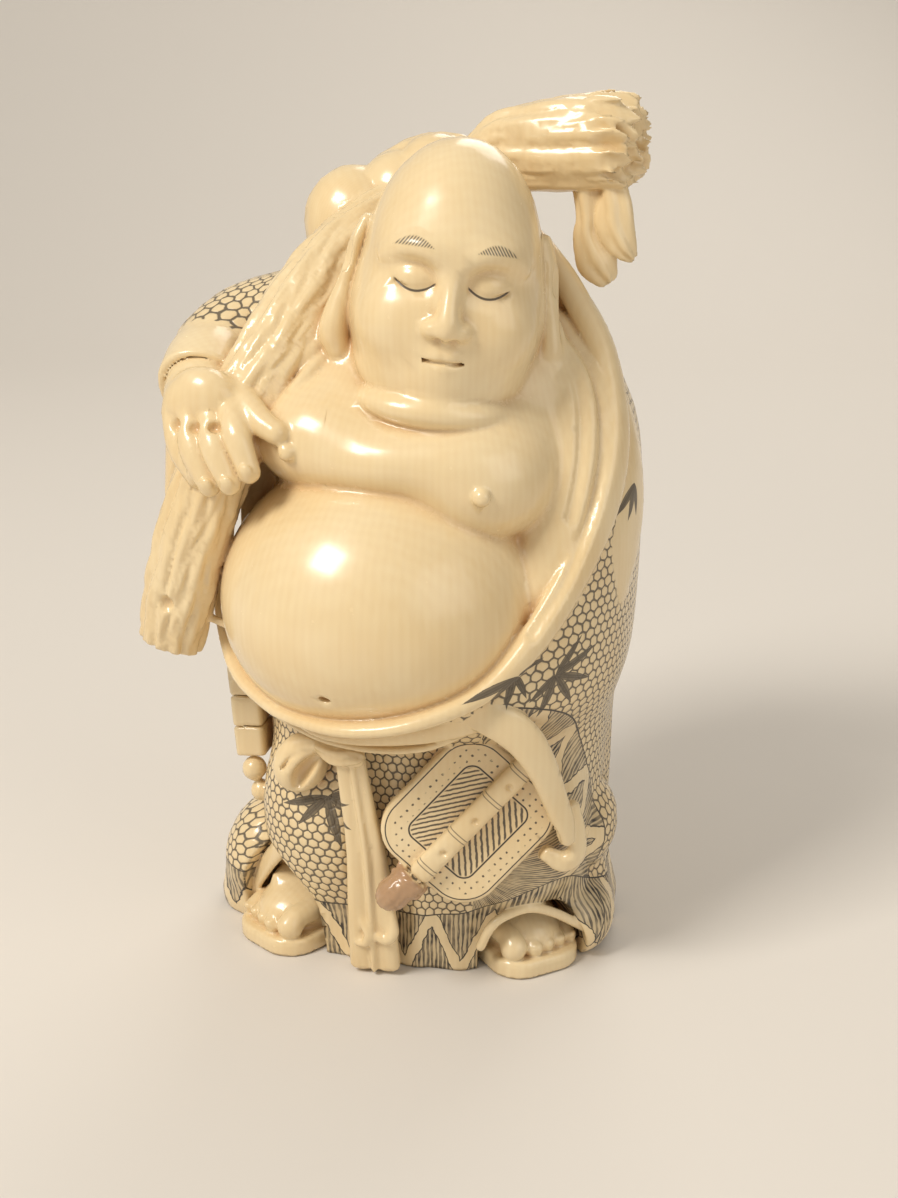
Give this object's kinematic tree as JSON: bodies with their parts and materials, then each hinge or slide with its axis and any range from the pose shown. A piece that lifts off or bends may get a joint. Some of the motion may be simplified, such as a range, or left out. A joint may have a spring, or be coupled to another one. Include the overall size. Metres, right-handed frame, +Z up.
{
  "type": "hotei figure",
  "caption": "Small carved figure of a stout, bald, bare-bellied monk in a long robe, with a gnarled branch over one shoulder, a sack on the back, and a fan and tiered case at the belt.",
  "frame": {"origin": "on the sawn underside, below the figure's upright axis", "axes": "+Z up, -Y the way the figure faces, +X to the right of somebody who looks at its front"},
  "size_m": [0.0858, 0.086, 0.1539],
  "materials": {
    "ivory": "polished carved ivory, cream to honey, with dark stain in the engraved lines"
  },
  "bodies": {
    "root": {"hotei_figure": "ivory"}
  },
  "joints": []
}
